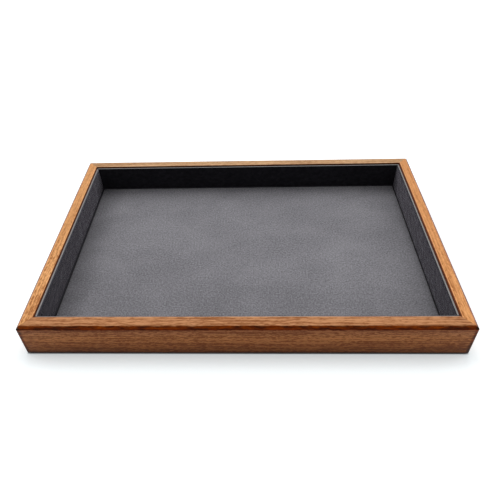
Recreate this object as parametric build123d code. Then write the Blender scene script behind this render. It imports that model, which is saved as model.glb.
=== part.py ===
"""Dice tray: a shallow rectangular tray with a mitred hardwood frame and a suede-lined well.

Four hardwood rails meet at mitres, each stiffened by a hidden loose tongue. A hardboard base panel lies in
a rebate under the rails and is held there by small steel pins, and a felt sheet covers the whole underside.
Four wall linings, each a strip of card faced with suede, stand on the panel against the rails and stop just
below the rim, so the card's raw top edge shows. Between them lies the floor, a foam pad with suede drawn
over its top and its edges.

X runs along the tray, Y from its front to its back and Z up. The origin is the middle of the underside.
All sizes are in millimetres.
"""
from build123d import *
import os

# The whole tray
tray_length = 290.0
tray_width = 193.0
tray_height = 27.0

# The rails: thickness, the bevel round the rim's outer edge, and the eased corners
rail_thickness = 9.4
bevel = 2.1
bevel_ease = 0.6
inner_ease = 0.4
bottom_ease = 0.6
corner_round = 1.2

# The underside, from the table up
felt_thickness = 0.8
felt_inset = 0.6
felt_corner_round = 2.0
panel_thickness = 2.0
rebate_width = 4.5
panel_gap = 0.2

# The floor of the well
foam_thickness = 1.5
floor_suede_thickness = 0.4
floor_edge_round = 1.0
floor_gap = 1.0

# The wall linings
wall_suede_thickness = 0.4
card_thickness = 1.0
lining_drop = 1.2
suede_edge_round = 0.15
lining_gap = 0.1
lining_end_gap = 0.1

# The loose tongues in the mitres
tongue_thickness = 2.0
tongue_width = 6.0
tongue_height = 17.5
tongue_from_inside = 4.2
tongue_above_panel = 1.5
tongue_clearance = 0.05

# The steel pins that hold the base panel
pin_radius = 0.5
pin_length = 9.0
pin_point = 1.2
pin_head_radius = 0.9
pin_head_height = 0.35
pin_clearance = 0.02
pins_on_long_side = 5
pins_on_short_side = 3
pin_end_margin = 30.0

# Heights and widths that follow from the sizes above
rail_bottom = felt_thickness
panel_top = rail_bottom + panel_thickness
foam_top = panel_top + foam_thickness
floor_top = foam_top + floor_suede_thickness
lining_thickness = card_thickness + wall_suede_thickness
lining_height = tray_height - lining_drop - panel_top
inner_length = tray_length - 2 * rail_thickness
inner_width = tray_width - 2 * rail_thickness

OUT = "parts"


def write(shape, node):
    """Writes one sub-part under its node's name."""
    export_step(shape, os.path.join(OUT, node + ".step"))


def block(length, width, height, bottom):
    """A plain block centred on the Z axis, standing on the given height."""
    return Pos(0, 0, bottom) * Box(length, width, height, align=(Align.CENTER, Align.CENTER, Align.MIN))


def at_corner(corner, vertices):
    """The vertices of a drawing that lie at one point of it."""
    near = 1e-6
    return vertices.filter_by(lambda v: abs(v.X - corner[0]) < near and abs(v.Y - corner[1]) < near)


def rail_profile():
    """A rail's cross-section: X is the distance in from the outer face, Y is the height."""
    outer_bottom = (0, rail_bottom)
    bevel_low = (0, tray_height - bevel)
    bevel_high = (bevel, tray_height)
    inner_top = (rail_thickness, tray_height)
    rebate_start = rail_thickness - rebate_width
    profile = make_face(
        Polyline(
            outer_bottom,
            bevel_low,
            bevel_high,
            inner_top,
            (rail_thickness, panel_top),
            (rebate_start, panel_top),
            (rebate_start, rail_bottom),
            close=True,
        )
    )
    for corner, radius in (
        (outer_bottom, bottom_ease),
        (bevel_low, bevel_ease),
        (bevel_high, bevel_ease),
        (inner_top, inner_ease),
    ):
        profile = fillet(at_corner(corner, profile.vertices()), radius)
    return profile


def mitred_rail(length, depth):
    """A rail lying along X at the front of a frame of that length and depth, with both ends mitred."""
    across = Plane(origin=(0, -depth / 2, 0), x_dir=(0, 1, 0), z_dir=(1, 0, 0))
    bar = extrude(across * rail_profile(), amount=length / 2, both=True)
    past_the_rail = 1.0
    reach = rail_thickness + past_the_rail
    outline = Polyline(
        (-length / 2, -depth / 2),
        (length / 2, -depth / 2),
        (length / 2 - reach, -depth / 2 + reach),
        (-length / 2 + reach, -depth / 2 + reach),
        close=True,
    )
    mitres = extrude(make_face(outline), amount=tray_height)
    eased_corners = extrude(RectangleRounded(length, depth, corner_round), amount=tray_height)
    return bar & mitres & eased_corners


def tongue_place(sign_x, sign_y):
    """Where a corner's loose tongue stands, with its width square to the mitre."""
    x = sign_x * (inner_length / 2 + tongue_from_inside)
    y = sign_y * (inner_width / 2 + tongue_from_inside)
    return Pos(x, y, panel_top + tongue_above_panel) * Rot(0, 0, 45 * sign_x * sign_y)


def tongue(clearance=0.0):
    """A loose tongue, or with a clearance the slot that it sits in."""
    return block(
        tongue_thickness + 2 * clearance,
        tongue_width + 2 * clearance,
        tongue_height + 2 * clearance,
        -clearance,
    )


def pin_places():
    """The points, in plan, where pins go up through the base panel into the rails."""
    along_x = tray_length / 2 - pin_end_margin
    along_y = tray_width / 2 - pin_end_margin
    inset = rail_thickness - rebate_width / 2
    places = []
    for side in (-1, 1):
        for i in range(pins_on_long_side):
            x = along_x * (2 * i / (pins_on_long_side - 1) - 1)
            places.append((x, side * (tray_width / 2 - inset)))
        for i in range(pins_on_short_side):
            y = along_y * (2 * i / (pins_on_short_side - 1) - 1)
            places.append((side * (tray_length / 2 - inset), y))
    return places


def pin(clearance=0.0):
    """A headed pin pointing up from the underside of the panel, or with a clearance its hole."""
    outline = Polyline(
        (0, 0),
        (pin_head_radius + clearance, 0),
        (pin_head_radius + clearance, pin_head_height + clearance),
        (pin_radius + clearance, pin_head_height + clearance),
        (pin_radius + clearance, pin_length - pin_point),
        (0, pin_length + clearance),
        close=True,
    )
    return Pos(0, 0, rail_bottom) * revolve(Plane.XZ * make_face(outline), Axis.Z)


def all_pins(clearance=0.0):
    """Every pin, or every pin hole."""
    return [Pos(x, y, 0) * pin(clearance) for x, y in pin_places()]


def build_frame():
    """The four rails and their loose tongues."""
    front = mitred_rail(tray_length, tray_width)
    left = mitred_rail(tray_width, tray_length)
    rails = {
        "front_rail": front,
        "back_rail": Rot(0, 0, 180) * front,
        "left_rail": Rot(0, 0, -90) * left,
        "right_rail": Rot(0, 0, 90) * left,
    }
    corners = {
        "front_left": (-1, -1),
        "front_right": (1, -1),
        "back_left": (-1, 1),
        "back_right": (1, 1),
    }
    slots = [tongue_place(*signs) * tongue(tongue_clearance) for signs in corners.values()]
    for node, rail in rails.items():
        write(rail - slots - all_pins(pin_clearance), node)
    for name, signs in corners.items():
        write(tongue_place(*signs) * tongue(), "mitre_tongue_" + name)


def build_base():
    """The hardboard panel, its pins and the felt under them."""
    in_from_edge = rail_thickness - rebate_width + panel_gap
    length = tray_length - 2 * in_from_edge
    width = tray_width - 2 * in_from_edge
    panel = block(length, width, panel_thickness, rail_bottom)
    write(panel - all_pins(pin_clearance), "base_panel")
    write(Compound(children=all_pins()), "panel_pins")
    felt = RectangleRounded(tray_length - 2 * felt_inset, tray_width - 2 * felt_inset, felt_corner_round)
    write(extrude(felt, amount=felt_thickness), "underside_felt")


def rounded_pad(length, width, height, radius):
    """A pad that lies on the base panel, with its top edges and its upright edges rounded."""
    pad = block(length, width, height, panel_top)
    top_edges = pad.faces().sort_by(Axis.Z)[-1].edges()
    return fillet(top_edges + pad.edges().filter_by(Axis.Z), radius)


def build_floor():
    """The foam pad, and the suede drawn over its top and its edges down to the panel."""
    length = inner_length - 2 * (lining_gap + lining_thickness + floor_gap)
    width = inner_width - 2 * (lining_gap + lining_thickness + floor_gap)
    cover = rounded_pad(length, width, foam_thickness + floor_suede_thickness, floor_edge_round)
    foam = rounded_pad(
        length - 2 * floor_suede_thickness,
        width - 2 * floor_suede_thickness,
        foam_thickness,
        floor_edge_round - floor_suede_thickness,
    )
    write(foam, "floor_foam")
    write(cover - foam, "floor_suede")


def wall_lining(length):
    """A lining standing along X with its back at Y = 0 and its face towards +Y: its card and its suede."""
    card = Pos(0, card_thickness / 2, 0) * block(length, card_thickness, lining_height, panel_top)
    middle_of_suede = card_thickness + wall_suede_thickness / 2
    suede = Pos(0, middle_of_suede, 0) * block(length, wall_suede_thickness, lining_height, panel_top)
    face_edges = suede.faces().sort_by(Axis.Y)[-1].edges()
    return card, fillet(face_edges.sort_by(Axis.Z)[-1], suede_edge_round)


def build_linings():
    """The four wall linings: the long ones reach the side rails, the short ones fit between them."""
    long_card, long_suede = wall_lining(inner_length - 2 * lining_end_gap)
    between = inner_width - 2 * (lining_gap + lining_thickness + lining_end_gap)
    short_card, short_suede = wall_lining(between)
    back_y = inner_width / 2 - lining_gap
    back_x = inner_length / 2 - lining_gap
    places = {
        "front": (Pos(0, -back_y, 0), long_card, long_suede),
        "back": (Pos(0, back_y, 0) * Rot(0, 0, 180), long_card, long_suede),
        "left": (Pos(-back_x, 0, 0) * Rot(0, 0, -90), short_card, short_suede),
        "right": (Pos(back_x, 0, 0) * Rot(0, 0, 90), short_card, short_suede),
    }
    for side, (place, card, suede) in places.items():
        write(place * card, side + "_wall_card")
        write(place * suede, side + "_wall_suede")


def main():
    os.makedirs(OUT, exist_ok=True)
    build_frame()
    build_base()
    build_floor()
    build_linings()
    print(f"floor of the well {floor_top:.1f} mm above the table, linings {lining_height:.1f} mm high")


main()
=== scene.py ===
"""Dice tray: a mitred hardwood frame round a well with a grey suede floor and dark suede walls.

The rails, base panel, pins, tongues and card strips are the frame's own solids with wood, board, steel and
card materials. The soft parts are modelled here: the floor's foam pad and the suede drawn over it, the suede
facing of each wall's card, and the felt under the tray. All sizes are in metres, with X along the tray, Y
from its front to its back and Z up. A texture's scale is how many features it has to a metre.
"""

import math

import bmesh
import bpy
from mathutils import Matrix, Vector, noise


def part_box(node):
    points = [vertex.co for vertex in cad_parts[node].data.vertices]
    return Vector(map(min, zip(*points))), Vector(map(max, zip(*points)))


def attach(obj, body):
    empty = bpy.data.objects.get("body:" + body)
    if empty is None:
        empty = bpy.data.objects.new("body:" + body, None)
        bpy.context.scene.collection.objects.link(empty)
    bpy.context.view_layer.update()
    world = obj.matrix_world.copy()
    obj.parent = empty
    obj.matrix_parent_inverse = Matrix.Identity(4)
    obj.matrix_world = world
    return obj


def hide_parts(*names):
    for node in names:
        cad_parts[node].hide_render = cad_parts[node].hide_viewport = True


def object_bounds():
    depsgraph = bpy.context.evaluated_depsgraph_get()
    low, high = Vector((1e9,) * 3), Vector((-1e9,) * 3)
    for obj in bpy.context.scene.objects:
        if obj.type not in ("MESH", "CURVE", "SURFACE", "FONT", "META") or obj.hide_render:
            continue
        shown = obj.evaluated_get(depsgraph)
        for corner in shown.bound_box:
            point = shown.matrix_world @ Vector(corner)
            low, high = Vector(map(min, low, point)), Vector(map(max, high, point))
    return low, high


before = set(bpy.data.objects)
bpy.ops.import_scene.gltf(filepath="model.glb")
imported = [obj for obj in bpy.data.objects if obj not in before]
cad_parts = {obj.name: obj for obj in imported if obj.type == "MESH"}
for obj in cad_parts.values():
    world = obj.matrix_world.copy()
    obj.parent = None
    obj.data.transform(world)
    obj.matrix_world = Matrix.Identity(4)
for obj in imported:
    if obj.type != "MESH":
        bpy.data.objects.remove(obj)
CAD_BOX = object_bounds()
BODY = "root"

MM = 0.001

# Sizes of the tray that the boxes of its parts don't give
BEVEL = 2.1 * MM
RAIL_THICKNESS = 9.4 * MM
FLOOR_SUEDE_THICKNESS = 0.4 * MM
FLOOR_EDGE_ROUND = 1.0 * MM
WALL_EDGE_ROUND = 0.15 * MM
FELT_CORNER_ROUND = 2 * MM
FELT_EDGE_ROUND = 0.25 * MM

# How finely the soft surfaces are divided
FLOOR_STEP = 1.6 * MM
WALL_STEP = 2.4 * MM
FELT_STEP = 5 * MM

# How uneven the floor is: the width of its swells, their height and the seed of their noise
FLOOR_WAVE = (28 * MM, 0.06 * MM, 4.0)
FLOOR_GRAIN = (3.2 * MM, 0.025 * MM, 9.0)

# How uneven the walls' suede is, on its face and along its top edge
WALL_SWELL_WIDTH = 16 * MM
WALL_SWELL = 0.08 * MM
WALL_TOP_WAVE_WIDTH = 7 * MM
WALL_TOP_WAVE = 0.12 * MM
WALL_FIRST_SEED = 11.0
WALL_SEED_STEP = 7

# Each wall's suede: its turn in degrees from facing +Y, the strength of the painted highlight along its top
# edge, its sheen, and how far above the floor's top the painted crease shade reaches
WALLS = {
    "front": (0.0, 0.0, 0.72, 0.0),
    "back": (180.0, 0.0, 0.72, 0.0),
    "left": (-90.0, 0.6, 0.80, 0.6 * MM),
    "right": (90.0, 0.1, 0.77, -0.7 * MM),
}

# The camera: where it stands, its angles in degrees, and how far off centre the picture was cropped
CAMERA_PLACE = (8.6 * MM, -288.8 * MM, 271.1 * MM)
CAMERA_PITCH = 41.61
CAMERA_YAW = -3.105
CAMERA_ROLL = 2.52
FOCAL_PIXELS = 492.9
OFF_CENTRE_PIXELS = (-13.7, -9.7)
IMAGE_PIXELS = 500
SENSOR_MM = 36.0
NEAREST_SEEN = 0.01

# The light: soft keys high up behind and at both sides, each with its azimuth and elevation in degrees and
# its strength, and a sky that is brighter behind than in front
KEYS = {
    "key_back": (0.0, 50.0, 0.9),
    "key_left": (-70.0, 38.0, 0.88),
    "key_right": (70.0, 38.0, 0.84),
}
KEY_SPREAD = 45.0
SKY_BACK = 0.36
SKY_FRONT = 0.20
SKY_COLOUR = (1.0, 1.0, 1.0, 1.0)

# The table: its size, its colour, and the glow that makes it show brighter than it lights the tray, weaker
# close to the tray as a painted shadow
TABLE_HALF = 4.0
TABLE_COLOUR = (0.78, 0.812, 0.826, 1.0)
TABLE_GLOW_TINT = (0.925, 0.985, 1.0, 1.0)
TABLE_GLOW_SHADOWED = 0.44
TABLE_GLOW_FAR = 0.61

# The wood of the front, back, left and right rails, the tints of its grain, and its stains and painted shade
# and highlights.
# The rails differ in colour partly as pieces of wood do and partly by painted light: the side rails brighter
# and the back rail paler where their sheen catches the light
REDDISH_WOOD = (0.495, 0.211, 0.088)
PALE_RED_WOOD = (0.565, 0.314, 0.150)
GOLDEN_WOOD = (0.755, 0.352, 0.131)
ORANGE_WOOD = (0.75, 0.326, 0.115)
# The bevel's colours: partly a darker stain, partly painted shade
DEEP_BEVEL_STAIN_AND_SHADE = (0.14, 0.030, 0.001, 1.0)
PALE_BEVEL_STAIN_AND_SHADE = (0.50, 0.185, 0.010, 1.0)
# Painted shade on the rails' inner edges
INNER_EDGE_SHADE = (0.13, 0.05, 0.02, 1.0)
DARK_GRAIN = (0.60, 0.47, 0.38)
PLAIN_GRAIN = (1.0, 1.0, 1.0)
PALE_GRAIN = (1.30, 1.42, 1.55)
PORE_TINT = (0.48, 0.33, 0.25)
# Painted highlight on the strip beside the rails' inner edges
EDGE_HIGHLIGHT_TINT = (1.12, 1.16, 1.25, 1.0)
TIP_COLOUR = (0.004, 0.002, 0.002, 1.0)
MITRE_COLOUR = (0.07, 0.025, 0.01, 1.0)
WARM_GLOSS = (1.0, 0.75, 0.40, 1.0)

# Painted shade and light on the rails' outer faces, by height as a part of the tray's height: dark at the
# foot, brightest above the middle and darker again under the bevel
FACE_SHADE_TINTS = (
    (0.05, (0.06, 0.020, 0.018, 1.0)),
    (0.12, (0.48, 0.33, 0.20, 1.0)),
    (0.38, (0.78, 0.59, 0.42, 1.0)),
    (0.64, (0.99, 0.82, 0.60, 1.0)),
    (0.78, (0.86, 0.72, 0.60, 1.0)),
    (0.90, (0.66, 0.47, 0.40, 1.0)),
)

# Each rail's wood: the axis along its grain, the seed of its figure, its colour, the strength of the rim's
# figure towards the tray's front and its back, the flecks to a metre along and across the grain, and how far
# the painted shade along its inner edge comes over the rim
RAIL_WOODS = {
    "front": ("X", 1.0, REDDISH_WOOD, (1.2, 1.2), (180, 1050), 0.0),
    "back": ("X", 22.0, PALE_RED_WOOD, (0.9, 0.9), (250, 1200), 0.4 * MM),
    "left": ("Y", 11.0, GOLDEN_WOOD, (1.2, 0.5), (280, 800), 0.45 * MM),
    "right": ("Y", 4.0, ORANGE_WOOD, (0.75, 0.4), (320, 900), 0.85 * MM),
}


class Shader:
    """A node tree in the making. Most methods add a node or a few and return the socket that they give."""

    def __init__(self, tree, material=None):
        self.tree = tree
        self.material = material
        tree.nodes.clear()

    @classmethod
    def of_material(cls, name):
        material = bpy.data.materials.new(name)
        material.use_nodes = True
        return cls(material.node_tree, material)

    def add(self, kind, **settings):
        made = self.tree.nodes.new(kind)
        for key, value in settings.items():
            setattr(made, key, value)
        return made

    def feed(self, socket, value):
        """Links the socket to another one, or sets a plain value on it."""
        if isinstance(value, bpy.types.NodeSocket):
            self.tree.links.new(value, socket)
        else:
            socket.default_value = value

    def place(self):
        """The point's place in the tray's own frame, in metres."""
        return self.add("ShaderNodeTexCoord").outputs["Object"]

    def upward(self):
        """How far the surface faces up: 1 on a top, 0 on a side and -1 underneath."""
        return self.split(self.add("ShaderNodeTexCoord").outputs["Normal"])[2]

    def stretch(self, vector, scale, shift=(0.0, 0.0, 0.0)):
        made = self.add("ShaderNodeMapping")
        self.feed(made.inputs["Vector"], vector)
        made.inputs["Scale"].default_value = scale
        made.inputs["Location"].default_value = shift
        return made.outputs["Vector"]

    def noise(self, vector, scale=1.0, detail=2.0, roughness=0.5, distortion=0.0):
        made = self.add("ShaderNodeTexNoise")
        self.feed(made.inputs["Vector"], vector)
        made.inputs["Scale"].default_value = scale
        made.inputs["Detail"].default_value = detail
        made.inputs["Roughness"].default_value = roughness
        made.inputs["Distortion"].default_value = distortion
        return made.outputs["Fac"]

    def cells(self, vector, scale):
        """The distance to the nearest of many scattered points."""
        made = self.add("ShaderNodeTexVoronoi")
        self.feed(made.inputs["Vector"], vector)
        made.inputs["Scale"].default_value = scale
        return made.outputs["Distance"]

    def maths(self, operation, first, second=0.0, clamp=False):
        made = self.add("ShaderNodeMath", operation=operation, use_clamp=clamp)
        self.feed(made.inputs[0], first)
        self.feed(made.inputs[1], second)
        return made.outputs["Value"]

    def held(self, value):
        """The value, held between 0 and 1."""
        return self.maths("ADD", value, 0.0, clamp=True)

    def remap(self, value, low, high, to_low=0.0, to_high=1.0):
        """Turns values from low to high into values from to_low to to_high, and holds them there outside."""
        made = self.add("ShaderNodeMapRange", interpolation_type="SMOOTHSTEP")
        self.feed(made.inputs["Value"], value)
        made.inputs["From Min"].default_value = low
        made.inputs["From Max"].default_value = high
        made.inputs["To Min"].default_value = to_low
        made.inputs["To Max"].default_value = to_high
        return made.outputs["Result"]

    def split(self, vector):
        made = self.add("ShaderNodeSeparateXYZ")
        self.feed(made.inputs["Vector"], vector)
        return made.outputs["X"], made.outputs["Y"], made.outputs["Z"]

    def mix(self, factor, first, second, how="MIX"):
        """Mixes two colours. The node's colour sockets come after those for numbers and vectors."""
        factor_socket, first_socket, second_socket, result = 0, 6, 7, 2
        made = self.add("ShaderNodeMix", data_type="RGBA", blend_type=how)
        self.feed(made.inputs[factor_socket], factor)
        self.feed(made.inputs[first_socket], first)
        self.feed(made.inputs[second_socket], second)
        return made.outputs[result]

    def tint(self, colour, by):
        """Multiplies a colour by another one, or by a number."""
        return self.mix(1.0, colour, by, "MULTIPLY")

    def blend(self, factor, first, second):
        """Mixes two plain numbers."""
        difference = self.maths("SUBTRACT", second, first)
        return self.maths("ADD", first, self.maths("MULTIPLY", difference, factor))

    def ramp(self, factor, stops):
        """A colour ramp through (position, colour) stops."""
        made = self.add("ShaderNodeValToRGB")
        elements = made.color_ramp.elements
        while len(elements) < len(stops):
            elements.new(0.5)
        for element, (position, colour) in zip(elements, stops):
            element.position = position
            element.color = colour
        self.feed(made.inputs["Fac"], factor)
        return made.outputs["Color"]

    def bump(self, height, distance, strength):
        made = self.add("ShaderNodeBump")
        self.feed(made.inputs["Height"], height)
        made.inputs["Distance"].default_value = distance
        made.inputs["Strength"].default_value = strength
        return made.outputs["Normal"]

    def finish(self, colour, roughness, normal, **plain):
        """Ends the material in one shader. The plain values are set on its own sockets."""
        shader = self.add("ShaderNodeBsdfPrincipled")
        self.feed(shader.inputs["Base Color"], colour)
        self.feed(shader.inputs["Roughness"], roughness)
        self.feed(shader.inputs["Normal"], normal)
        for key, value in plain.items():
            shader.inputs[key.replace("_", " ")].default_value = value
        output = self.add("ShaderNodeOutputMaterial")
        self.tree.links.new(shader.outputs["BSDF"], output.inputs["Surface"])
        return self.material


def tinted(colour, tint):
    """A colour multiplied by a tint, channel by channel, with full alpha."""
    return tuple(channel * part for channel, part in zip(colour, tint)) + (1.0,)


def along_grain(grain, along, across):
    """Scales for a texture that runs along X or Y: per metre along the grain and across it."""
    return (along, across, across) if grain == "X" else (across, along, across)


def edge_distances(make):
    """Distances in from the tray's short sides and its long sides, and the height, at each point."""
    x, y, z = make.split(make.place())
    half_length = CAD_BOX[1].x
    half_width = CAD_BOX[1].y
    from_side = make.maths("SUBTRACT", half_length, make.maths("ABSOLUTE", x))
    from_front = make.maths("SUBTRACT", half_width, make.maths("ABSOLUTE", y))
    return from_side, from_front, z


def weighted(make, start, layers):
    """A value plus each layer's swing about its middle, times its weight."""
    middle = 0.5
    total = start
    for layer, weight in layers:
        swing = make.maths("SUBTRACT", layer, middle)
        total = make.maths("ADD", total, make.maths("MULTIPLY", swing, weight))
    return total


def shade_outer_faces(make, colour, from_outside, z):
    """Paints shade and light on the outer faces by height: dark at the foot and brightest above the middle.
    """
    past_face = 0.9 * MM
    on_face = 0.5 * MM
    tints = make.ramp(make.maths("DIVIDE", z, CAD_BOX[1].z), FACE_SHADE_TINTS)
    return make.mix(make.remap(from_outside, past_face, on_face), colour, make.tint(colour, tints))


def bevel_mask(make, from_outside, z, wander):
    """1 on the bevel and 0 off it, with a border that wanders a little."""
    foot = CAD_BOX[1].z - BEVEL
    inner_border = (BEVEL + 0.15 * MM, BEVEL - 0.45 * MM)
    lower_border = (foot - 0.25 * MM, foot + 0.2 * MM)
    inside = make.remap(make.maths("ADD", from_outside, wander), *inner_border)
    above = make.remap(make.maths("ADD", z, wander), *lower_border)
    return make.maths("MULTIPLY", inside, above)


def stain_and_shade_bevel(make, colour, on_bevel, from_corner, z, streaks, wander):
    """Darkens the bevel in streaks, darker at its foot, partly as a stain and partly as painted shade, and
    paints shade on the frame's upright arrises in its tones.
    """
    top = CAD_BOX[1].z
    foot_tone = 0.3
    top_tone = 0.7
    streak_weight = 4.4
    off_arris = 3.4 * MM
    full_arris = 1.5 * MM
    arris_strength = 0.95
    up_bevel = make.remap(z, top - BEVEL, top, foot_tone, top_tone)
    tones = make.held(weighted(make, up_bevel, ((streaks, streak_weight),)))
    bevel_stain_and_shade = make.mix(tones, DEEP_BEVEL_STAIN_AND_SHADE, PALE_BEVEL_STAIN_AND_SHADE)
    near_arris = make.remap(make.maths("ADD", from_corner, wander), off_arris, full_arris)
    on_arris = make.maths("MULTIPLY", near_arris, arris_strength)
    stained_or_shaded = make.maths("MAXIMUM", on_bevel, on_arris)
    return make.mix(stained_or_shaded, colour, make.tint(colour, bevel_stain_and_shade))


def shade_inner_edge(make, colour, from_outside, over_inner_edge):
    """Paints shade on the inner face and a narrow line over the rim, and a painted highlight on a strip
    beside it.
    """
    edge = RAIL_THICKNESS - over_inner_edge
    highlight_border = (edge - 1.3 * MM, edge - 0.5 * MM)
    dark_border = (edge - 0.25 * MM, edge - 0.02 * MM)
    colour = make.mix(make.remap(from_outside, *highlight_border), colour, make.tint(colour, EDGE_HIGHLIGHT_TINT))
    return make.mix(make.remap(from_outside, *dark_border), colour, make.tint(colour, INNER_EDGE_SHADE))


def darken_tips(make, colour, on_bevel, from_corner):
    """Makes the bevel nearly black at the frame's four corners."""
    off_tip = 3.6 * MM
    full_tip = 2.4 * MM
    tip_strength = 0.85
    at_tip = make.maths("MULTIPLY", on_bevel, make.remap(from_corner, off_tip, full_tip))
    return make.mix(make.maths("MULTIPLY", at_tip, tip_strength), colour, TIP_COLOUR)


def draw_mitres(make, colour, from_side, from_front):
    """Draws a fine dark line along each mitre, where the distances in from two sides are the same."""
    off_line = 0.16 * MM
    full_line = 0.05 * MM
    line_strength = 0.3
    off_mitre = make.maths("ABSOLUTE", make.maths("SUBTRACT", from_side, from_front))
    joint = make.remap(off_mitre, off_line, full_line)
    return make.mix(make.maths("MULTIPLY", joint, line_strength), colour, MITRE_COLOUR)


def hardwood(name, grain, seed, base, contrasts, flecks, over_inner_edge):
    """Oiled hardwood: streaks and flecks on the rim, streaks and specks on the faces, painted shade and light
    on the outer faces, a bevel darkened partly by stain and partly by painted shade, and painted shade and a
    painted highlight along the inner edge.

    The list of the rails' woods says what each value is.
    """
    front_of_fade = -45 * MM
    back_of_fade = 15 * MM
    pore_strength = 0.5
    wander_width = 1.3 * MM
    make = Shader.of_material(name)
    place = make.place()
    contrast = make.remap(make.split(place)[1], front_of_fade, back_of_fade, *contrasts)
    shift = (seed * 3.1, seed * 1.7, seed * 2.3)

    def figure(along, across, **options):
        return make.noise(make.stretch(place, along_grain(grain, along, across), shift), **options)

    streak = figure(26, 850, detail=1.0)
    fleck = figure(*flecks, detail=2.0, roughness=0.6, distortion=0.4)
    face_streak = figure(22, 1100, detail=1.0)
    speck = figure(360, 1350, detail=2.0, roughness=0.65)
    on_rim = weighted(make, 0.0, ((streak, 1.8), (fleck, 2.1)))
    on_face = weighted(make, 0.0, ((face_streak, 3.0), (speck, 4.8)))
    is_rim = make.remap(make.upward(), 0.5, 0.9)
    fine = make.blend(is_rim, on_face, make.maths("MULTIPLY", on_rim, contrast))
    broad = weighted(make, 0.5, ((figure(14, 120, detail=1.0), 0.35), (figure(9, 14, detail=1.0), 0.3)))
    tones = make.maths("ADD", broad, fine, clamp=True)
    colour = make.ramp(
        tones,
        (
            (0.08, tinted(base, DARK_GRAIN)),
            (0.5, tinted(base, PLAIN_GRAIN)),
            (0.92, tinted(base, PALE_GRAIN)),
        ),
    )
    pores = make.remap(figure(300, 1700, detail=1.0), 0.62, 0.72)
    in_pores = make.maths("MULTIPLY", make.maths("MULTIPLY", pores, pore_strength), contrast)
    colour = make.mix(in_pores, colour, tinted(base, PORE_TINT))

    from_side, from_front, z = edge_distances(make)
    from_outside = make.maths("MINIMUM", from_side, from_front)
    from_corner = make.maths("ADD", from_side, from_front)
    wander = make.maths("MULTIPLY", make.maths("SUBTRACT", figure(150, 150, detail=2.0), 0.5), wander_width)
    bevel_streaks = figure(120, 520, detail=2.0)
    on_bevel = bevel_mask(make, from_outside, z, wander)
    # Painted shade and light on the outer faces, the bevel, the arrises and the inner edge
    colour = shade_outer_faces(make, colour, from_outside, z)
    colour = stain_and_shade_bevel(make, colour, on_bevel, from_corner, z, bevel_streaks, wander)
    colour = shade_inner_edge(make, colour, from_outside, over_inner_edge)
    colour = darken_tips(make, colour, on_bevel, from_corner)
    colour = draw_mitres(make, colour, from_side, from_front)

    height = make.maths("SUBTRACT", make.maths("MULTIPLY", fleck, 0.5), make.maths("MULTIPLY", pores, 0.8))
    normal = make.bump(height, distance=0.1 * MM, strength=0.5)
    roughness = make.remap(make.maths("ADD", pores, streak), 0.3, 1.3, 0.42, 0.56)
    return make.finish(colour, roughness, normal, Specular_IOR_Level=0.16, Specular_Tint=WARM_GLOSS)


def suede_fibre(make):
    """The single fibres of a suede's nap."""
    return make.noise(make.place(), scale=1500, detail=3.0, roughness=0.7)


def floor_suede():
    """Mid-grey microsuede: a fine short nap with soft brushed clouds, with painted shade at its ends and
    front.
    """
    left_shade = 0.68
    right_shade = 0.83
    front_shade = 0.94
    back_shade = 1.045
    make = Shader.of_material("floor_suede_nap")
    place = make.place()
    fibre = suede_fibre(make)
    grit = make.noise(place, scale=850, detail=1.0)
    clouds = make.noise(make.stretch(place, (22, 34, 30)), detail=3.0, roughness=0.55, distortion=0.6)
    colour = make.ramp(
        make.held(weighted(make, 0.5, ((fibre, 0.8), (grit, 1.2), (clouds, 0.5)))),
        (
            (0.08, (0.132, 0.129, 0.143, 1.0)),
            (0.5, (0.232, 0.227, 0.246, 1.0)),
            (0.92, (0.350, 0.344, 0.370, 1.0)),
        ),
    )
    low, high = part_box("floor_suede")
    x, y, _ = make.split(place)
    # Painted shade: darker beside the left and right walls and towards the front, a touch brighter towards
    # the back
    beside_left = make.remap(x, low.x - 4 * MM, low.x + 24 * MM, left_shade, 1.0)
    beside_right = make.remap(x, high.x - 7 * MM, high.x, 1.0, right_shade)
    towards_front = make.remap(y, -75 * MM, -15 * MM, front_shade, back_shade)
    shade = make.maths("MULTIPLY", make.maths("MULTIPLY", beside_left, beside_right), towards_front)
    colour = make.tint(colour, shade)
    nap = make.maths("ADD", fibre, make.maths("MULTIPLY", grit, 0.8))
    normal = make.bump(nap, distance=0.25 * MM, strength=0.6)
    return make.finish(
        colour, roughness=0.95, normal=normal, Specular_IOR_Level=0.12, Sheen_Weight=0.1, Sheen_Roughness=0.5
    )


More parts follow.
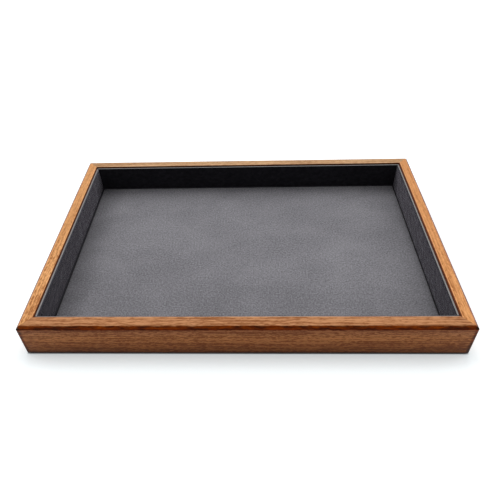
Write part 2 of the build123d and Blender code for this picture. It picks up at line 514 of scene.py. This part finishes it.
def wall_suede(name, top, top_highlight, sheen):
    """Charcoal microsuede, dark from straight on, with a brushed nap that catches light from the side.

    Its top edge is at that height, and a painted highlight lightens the suede there, with a strength from 0
    to 1.
    """
    make = Shader.of_material(name)
    place = make.place()
    fibre = suede_fibre(make)
    brushed = make.noise(make.stretch(place, (260, 260, 340)), detail=1.0, roughness=0.4, distortion=0.4)
    colour = make.ramp(
        make.held(weighted(make, 0.5, ((fibre, 0.6), (brushed, 0.8)))),
        (
            (0.1, (0.010, 0.009, 0.011, 1.0)),
            (0.5, (0.019, 0.018, 0.022, 1.0)),
            (0.9, (0.034, 0.032, 0.039, 1.0)),
        ),
    )
    # Painted highlight along the suede's top edge
    highlight_colour = (0.12, 0.118, 0.145, 1.0)
    cool_sheen = (0.93, 0.88, 1.0, 1.0)
    near_top = make.remap(make.split(place)[2], top - 1.8 * MM, top - 0.2 * MM, 0.0, top_highlight)
    colour = make.mix(near_top, colour, highlight_colour)
    clouds = make.noise(make.stretch(place, (100, 100, 130)), detail=1.0, roughness=0.5, distortion=0.5)
    layers = ((fibre, 0.4), (brushed, 0.4), (clouds, 0.85))
    normal = make.bump(weighted(make, 0.5, layers), distance=0.9 * MM, strength=0.7)
    return make.finish(
        colour,
        roughness=0.95,
        normal=normal,
        Specular_IOR_Level=0.03,
        Sheen_Weight=sheen,
        Sheen_Roughness=0.33,
        Sheen_Tint=cool_sheen,
    )


def crease_shade_nap():
    """Painted shade for the crease: the wall suede beside the floor's edge, darker and with no sheen."""
    make = Shader.of_material("wall_suede_crushed_nap")
    fibre = suede_fibre(make)
    colour = make.ramp(fibre, ((0.3, (0.042, 0.039, 0.046, 1.0)), (0.7, (0.080, 0.075, 0.087, 1.0))))
    normal = make.bump(fibre, distance=0.2 * MM, strength=0.5)
    return make.finish(colour, roughness=0.97, normal=normal, Specular_IOR_Level=0.03)


def wool_felt():
    """Black pressed felt with matted fibres."""
    make = Shader.of_material("underside_felt_fibres")
    place = make.place()
    fibre = make.noise(place, scale=900, detail=5.0, roughness=0.75, distortion=1.2)
    matting = make.noise(place, scale=90, detail=3.0, roughness=0.6)
    tones = make.maths("ADD", make.maths("MULTIPLY", fibre, 0.7), make.maths("MULTIPLY", matting, 0.3))
    colour = make.ramp(tones, ((0.3, (0.007, 0.007, 0.008, 1.0)), (0.75, (0.034, 0.034, 0.038, 1.0))))
    normal = make.bump(fibre, distance=0.35 * MM, strength=0.8)
    return make.finish(
        colour, roughness=0.97, normal=normal, Specular_IOR_Level=0.1, Sheen_Weight=0.15, Sheen_Roughness=0.5
    )


def hardboard():
    """Smooth brown hardboard with pressed fibres, near black on top as painted shade, so that it shows dark
    beside the floor.
    """
    make = Shader.of_material("base_hardboard")
    stretched = make.stretch(make.place(), (300, 900, 300))
    fibre = make.noise(stretched, detail=4.0, roughness=0.7, distortion=1.5)
    bare = make.ramp(fibre, ((0.3, (0.130, 0.072, 0.036, 1.0)), (0.7, (0.270, 0.165, 0.090, 1.0))))
    # Painted shade: the top is near black where it shows in the gap beside the floor
    shaded_top = make.ramp(fibre, ((0.3, (0.010, 0.010, 0.011, 1.0)), (0.7, (0.022, 0.021, 0.022, 1.0))))
    colour = make.mix(make.remap(make.upward(), 0.5, 0.9), bare, shaded_top)
    normal = make.bump(fibre, distance=0.08 * MM, strength=0.5)
    return make.finish(colour, roughness=0.62, normal=normal)


def pale_wood():
    """Plain pale beech for the loose tongues, with its grain upright."""
    make = Shader.of_material("tongue_beech")
    grain = make.noise(make.stretch(make.place(), (900, 900, 60)), detail=3.0, roughness=0.6)
    colour = make.ramp(grain, ((0.3, (0.470, 0.310, 0.170, 1.0)), (0.7, (0.690, 0.520, 0.335, 1.0))))
    normal = make.bump(grain, distance=0.05 * MM, strength=0.5)
    return make.finish(colour, roughness=0.6, normal=normal)


def pin_steel():
    """Bright drawn steel with fine drawing marks along each pin."""
    make = Shader.of_material("pin_steel")
    marks = make.noise(make.stretch(make.place(), (6000, 6000, 250)), detail=2.0)
    colour = make.ramp(marks, ((0.3, (0.42, 0.43, 0.44, 1.0)), (0.7, (0.62, 0.63, 0.64, 1.0))))
    roughness = make.remap(marks, 0.3, 0.7, 0.28, 0.42)
    normal = make.bump(marks, distance=0.01 * MM, strength=0.4)
    return make.finish(colour, roughness, normal, Metallic=1.0)


def grey_card():
    """Grey board with flecks of fibre."""
    make = Shader.of_material("lining_grey_card")
    fleck = make.noise(make.place(), scale=1200, detail=4.0, roughness=0.7)
    colour = make.ramp(fleck, ((0.3, (0.268, 0.261, 0.252, 1.0)), (0.7, (0.475, 0.464, 0.450, 1.0))))
    normal = make.bump(fleck, distance=0.05 * MM, strength=0.5)
    return make.finish(colour, roughness=0.85, normal=normal)


def dark_foam():
    """Dark closed-cell foam."""
    make = Shader.of_material("floor_foam_cells")
    cell = make.cells(make.place(), scale=1400)
    colour = make.ramp(cell, ((0.0, (0.020, 0.020, 0.022, 1.0)), (0.6, (0.075, 0.075, 0.080, 1.0))))
    normal = make.bump(cell, distance=0.2 * MM, strength=0.6)
    return make.finish(colour, roughness=0.85, normal=normal)


def dress(node, material):
    """Gives one of the frame's own solids its finished material."""
    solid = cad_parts[node]
    solid.data.materials.clear()
    solid.data.materials.append(material)


def add_to_scene(name, data):
    """A new object in the scene for a mesh, a lamp or a camera."""
    made = bpy.data.objects.new(name, data)
    bpy.context.scene.collection.objects.link(made)
    return made


def new_piece(name, build, material):
    """Makes a piece from a bmesh, with smooth shading that keeps real edges."""
    sharp_from = math.radians(40.0)
    mesh = bpy.data.meshes.new(name)
    bmesh.ops.recalc_face_normals(build, faces=build.faces)
    build.to_mesh(mesh)
    build.free()
    piece = add_to_scene(name, mesh)
    mesh.materials.append(material)
    mesh.shade_smooth()
    mesh.set_sharp_from_angle(angle=sharp_from)
    return piece


def stand_in(piece, node):
    """The piece stands for a soft solid of the frame: it goes on the body, and the solid is hidden."""
    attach(piece, BODY)
    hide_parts(node)


def soft_noise(x, y, size, seed):
    """Smooth noise from about -1 to 1, with features of that size."""
    return noise.noise(Vector((x / size + seed, y / size - seed, seed * 0.37)))


def hollow(x, y, size, depth, seed):
    """How far an uneven surface lies off its highest level there, down to about twice the depth."""
    return depth * (soft_noise(x, y, size, seed) - 1.0)


def new_block(size):
    """A block of that size, centred on the origin."""
    build = bmesh.new()
    bmesh.ops.create_cube(build, size=1.0)
    bmesh.ops.scale(build, vec=size, verts=build.verts)
    return build


def round_edges(build, edges, radius, segments):
    """Rounds these edges of a mesh."""
    bmesh.ops.bevel(build, geom=edges, offset=radius, segments=segments, profile=0.5, affect="EDGES")


def climb(edge):
    """How far an edge climbs between its ends."""
    return abs(edge.verts[0].co.z - edge.verts[1].co.z)


def cut_across(build, axis, places):
    """Cuts a mesh with planes square to an axis, at each of these places."""
    normal = Vector((0.0, 0.0, 0.0))
    normal[axis] = 1.0
    on_plane = 1e-7
    for place in places:
        point = normal * place
        geometry = build.verts[:] + build.edges[:] + build.faces[:]
        bmesh.ops.bisect_plane(build, geom=geometry, dist=on_plane, plane_co=point, plane_no=normal)


def spaced(half, step):
    """Places from -half to half, not counting the ends, about a step apart."""
    count = max(2, round(2 * half / step))
    return [half * (2 * i / count - 1) for i in range(1, count)]


def rounded_pad(node, radius):
    """A block that fills a node's box, centred on the origin, with its top and upright edges rounded."""
    low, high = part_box(node)
    size = high - low
    build = new_block(size)
    rounded = [e for e in build.edges if e.verts[0].co.z + e.verts[1].co.z > -0.9 * size.z]
    round_edges(build, rounded, radius, segments=5)
    return build, size, (low + high) / 2


def thicken(piece, thickness):
    """Gives a thin surface its real thickness, inwards."""
    solidify = piece.modifiers.new("thickness", "SOLIDIFY")
    solidify.thickness = thickness
    solidify.offset = -1.0
    solidify.use_even_offset = True
    evaluated = piece.evaluated_get(bpy.context.evaluated_depsgraph_get())
    thick = bpy.data.meshes.new_from_object(evaluated)
    piece.modifiers.clear()
    piece.data = thick


def make_floor_suede():
    """The suede drawn over the foam pad's top and its edges, very slightly uneven where it is glued."""
    build, size, centre = rounded_pad("floor_suede", FLOOR_EDGE_ROUND)
    cut_across(build, 0, spaced(size.x / 2 - FLOOR_EDGE_ROUND, FLOOR_STEP))
    cut_across(build, 1, spaced(size.y / 2 - FLOOR_EDGE_ROUND, FLOOR_STEP))
    underneath = [face for face in build.faces if face.normal.z < -0.5]
    bmesh.ops.delete(build, geom=underneath, context="FACES")
    top = size.z / 2
    for vertex in build.verts:
        x, y, z = vertex.co
        on_top = max(0.0, 1 - (top - z) / FLOOR_EDGE_ROUND)
        vertex.co.z += on_top * (hollow(x, y, *FLOOR_WAVE) + hollow(x, y, *FLOOR_GRAIN))
    build.transform(Matrix.Translation(centre))
    suede = new_piece("floor_suede_cover", build, floor_suede())
    thicken(suede, FLOOR_SUEDE_THICKNESS)
    stand_in(suede, "floor_suede")


def make_floor_foam():
    """The foam pad, a little lower than its solid so that the uneven suede stays clear of it."""
    clear_of_suede = 0.2 * MM
    build, _, centre = rounded_pad("floor_foam", FLOOR_EDGE_ROUND - FLOOR_SUEDE_THICKNESS)
    for vertex in build.verts:
        if vertex.co.z > 0:
            vertex.co.z -= clear_of_suede
    build.transform(Matrix.Translation(centre))
    foam = new_piece("floor_foam_pad", build, dark_foam())
    stand_in(foam, "floor_foam")


def lining_face(length, thickness, height, seed, crease_shade_to):
    """The suede on a card strip: X along it, its face to +Y, slightly uneven, with a soft top edge.

    Below that height it takes the second material, the painted crease shade.
    """
    flat_border = 3 * MM
    top_band = 0.3 * MM
    uncut_band = 0.5 * MM
    build = new_block((length, thickness, height))
    top_front = [e for e in build.edges if all(v.co.y > 0 and v.co.z > 0 for v in e.verts)]
    round_edges(build, top_front, WALL_EDGE_ROUND, segments=3)
    cut_across(build, 0, spaced(length / 2, WALL_STEP))
    cut_across(build, 2, spaced(height / 2 - uncut_band, WALL_STEP) + [crease_shade_to])
    for face in build.faces:
        face.material_index = int(face.calc_center_median().z < crease_shade_to)
    for vertex in build.verts:
        x, y, z = vertex.co
        free = min(1.0, (height / 2 - abs(z)) / flat_border, (length / 2 - abs(x)) / flat_border)
        if y > 0:
            bulge = 0.5 + 0.5 * soft_noise(x, z * 1.5, WALL_SWELL_WIDTH, seed)
            vertex.co.y += max(0.0, free) * WALL_SWELL * bulge
        if z > height / 2 - top_band:
            dip = 0.5 + 0.5 * soft_noise(x, 0.0, WALL_TOP_WAVE_WIDTH, seed + 5)
            vertex.co.z -= WALL_TOP_WAVE * dip
    return build


def make_wall_linings():
    """The four wall suedes. Each is built along X with its face to +Y, then turned to face the well."""
    floor_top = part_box("floor_suede")[1].z
    crease_shade = crease_shade_nap()
    for index, (side, (turn, top_highlight, sheen, crease_shade_above)) in enumerate(WALLS.items()):
        node = side + "_wall_suede"
        low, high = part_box(node)
        size = high - low
        length = max(size.x, size.y)
        thickness = min(size.x, size.y)
        centre = (low + high) / 2
        crease_shade_to = floor_top + crease_shade_above - centre.z
        seed = WALL_FIRST_SEED + WALL_SEED_STEP * index
        build = lining_face(length, thickness, size.z, seed, crease_shade_to)
        build.transform(Matrix.Translation(centre) @ Matrix.Rotation(math.radians(turn), 4, "Z"))
        nap = wall_suede(side + "_wall_nap", high.z, top_highlight, sheen)
        piece = new_piece(node + "_facing", build, nap)
        # The second material paints shade into the crease beside the floor
        piece.data.materials.append(crease_shade)
        stand_in(piece, node)


def make_underside():
    """The felt under the tray, with soft edges."""
    level = 1e-6
    uncut_border = 3 * MM
    low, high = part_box("underside_felt")
    size = high - low
    build = new_block(size)
    upright = [e for e in build.edges if climb(e) > size.z / 2]
    round_edges(build, upright, FELT_CORNER_ROUND, segments=6)
    rims = [e for e in build.edges if climb(e) < level]
    round_edges(build, rims, FELT_EDGE_ROUND, segments=3)
    cut_across(build, 0, spaced(size.x / 2 - uncut_border, FELT_STEP))
    cut_across(build, 1, spaced(size.y / 2 - uncut_border, FELT_STEP))
    build.transform(Matrix.Translation((low + high) / 2))
    felt = new_piece("underside_felt_sheet", build, wool_felt())
    stand_in(felt, "underside_felt")


def dress_solids():
    """Materials for the frame's own solids."""
    for side, wood in RAIL_WOODS.items():
        dress(side + "_rail", hardwood(side + "_rail_wood", *wood))
    dress("base_panel", hardboard())
    dress("panel_pins", pin_steel())
    beech = pale_wood()
    for corner in ("front_left", "front_right", "back_left", "back_right"):
        dress("mitre_tongue_" + corner, beech)
    card = grey_card()
    for side in WALLS:
        dress(side + "_wall_card", card)


def seen_directly(make):
    """1 for rays that show this surface itself, straight, in gloss or through glass, and 0 for other rays."""
    rays = make.add("ShaderNodeLightPath")
    straight_or_gloss = make.maths("MAXIMUM", rays.outputs["Is Camera Ray"], rays.outputs["Is Glossy Ray"])
    return make.maths("MAXIMUM", straight_or_gloss, rays.outputs["Is Transmission Ray"])


def table_white():
    """White that shows brighter than it lights the tray, but not under the tray, and less close by as a
    painted shadow.
    """
    make = Shader.of_material("table_white")
    diffuse = make.add("ShaderNodeBsdfDiffuse")
    diffuse.inputs["Color"].default_value = TABLE_COLOUR
    from_side, from_front, _ = edge_distances(make)
    inside = make.maths("MINIMUM", from_side, from_front)
    # Painted shadow: the glow is weaker close to the tray
    glow = make.remap(inside, 1 * MM, -14 * MM, TABLE_GLOW_SHADOWED, TABLE_GLOW_FAR)
    clear_of_tray = make.remap(inside, 0.1 * MM, -0.1 * MM)
    strength = make.maths("MULTIPLY", seen_directly(make), make.maths("MULTIPLY", clear_of_tray, glow))
    glowing = make.add("ShaderNodeEmission")
    glowing.inputs["Color"].default_value = TABLE_GLOW_TINT
    make.feed(glowing.inputs["Strength"], strength)
    both = make.add("ShaderNodeAddShader")
    make.tree.links.new(diffuse.outputs["BSDF"], both.inputs[0])
    make.tree.links.new(glowing.outputs["Emission"], both.inputs[1])
    output = make.add("ShaderNodeOutputMaterial")
    make.tree.links.new(both.outputs["Shader"], output.inputs["Surface"])
    return make.material


def make_table():
    """The white table that the tray stands on."""
    half = TABLE_HALF
    mesh = bpy.data.meshes.new("table")
    corners = [(-half, -half, 0.0), (half, -half, 0.0), (half, half, 0.0), (-half, half, 0.0)]
    mesh.from_pydata(corners, [], [(0, 1, 2, 3)])
    table = add_to_scene("table", mesh)
    mesh.materials.append(table_white())


def make_sky():
    """Light from all round: white where it shows itself, and to the tray brighter behind than in front."""
    front_end = -0.55
    back_end = 0.45
    world = bpy.data.worlds.new("sky")
    bpy.context.scene.world = world
    world.use_nodes = True
    make = Shader(world.node_tree)
    direction = make.add("ShaderNodeTexCoord").outputs["Generated"]
    level = make.remap(make.split(direction)[1], front_end, back_end, SKY_FRONT, SKY_BACK)
    background = make.add("ShaderNodeBackground")
    background.inputs["Color"].default_value = SKY_COLOUR
    make.feed(background.inputs["Strength"], make.maths("MAXIMUM", seen_directly(make), level))
    output = make.add("ShaderNodeOutputWorld")
    make.tree.links.new(background.outputs["Background"], output.inputs["Surface"])


def make_keys():
    """The soft key lights."""
    for name, (azimuth, elevation, strength) in KEYS.items():
        lamp = bpy.data.lights.new(name, "SUN")
        lamp.energy = strength
        lamp.angle = math.radians(KEY_SPREAD)
        turn = math.radians(azimuth)
        rise = math.radians(elevation)
        towards = Vector((math.sin(turn) * math.cos(rise), math.cos(turn) * math.cos(rise), math.sin(rise)))
        add_to_scene(name, lamp).rotation_euler = towards.to_track_quat("Z", "Y").to_euler()


def make_camera():
    """The camera, where the photograph was taken from."""
    lens = bpy.data.cameras.new("camera")
    lens.sensor_width = SENSOR_MM
    lens.lens = SENSOR_MM * FOCAL_PIXELS / IMAGE_PIXELS
    lens.shift_x = -OFF_CENTRE_PIXELS[0] / IMAGE_PIXELS
    lens.shift_y = OFF_CENTRE_PIXELS[1] / IMAGE_PIXELS
    lens.clip_start = NEAREST_SEEN
    turn = Matrix.Rotation(math.radians(-CAMERA_YAW), 4, "Z")
    tip = Matrix.Rotation(math.radians(90 - CAMERA_PITCH), 4, "X")
    roll = Matrix.Rotation(math.radians(-CAMERA_ROLL), 4, "Z")
    camera = add_to_scene("camera", lens)
    camera.matrix_world = Matrix.Translation(CAMERA_PLACE) @ turn @ tip @ roll
    bpy.context.scene.camera = camera


make_camera()
make_floor_suede()
make_floor_foam()
make_wall_linings()
make_underside()
dress_solids()
make_table()
make_sky()
make_keys()
bpy.context.scene.view_settings.view_transform = "Standard"
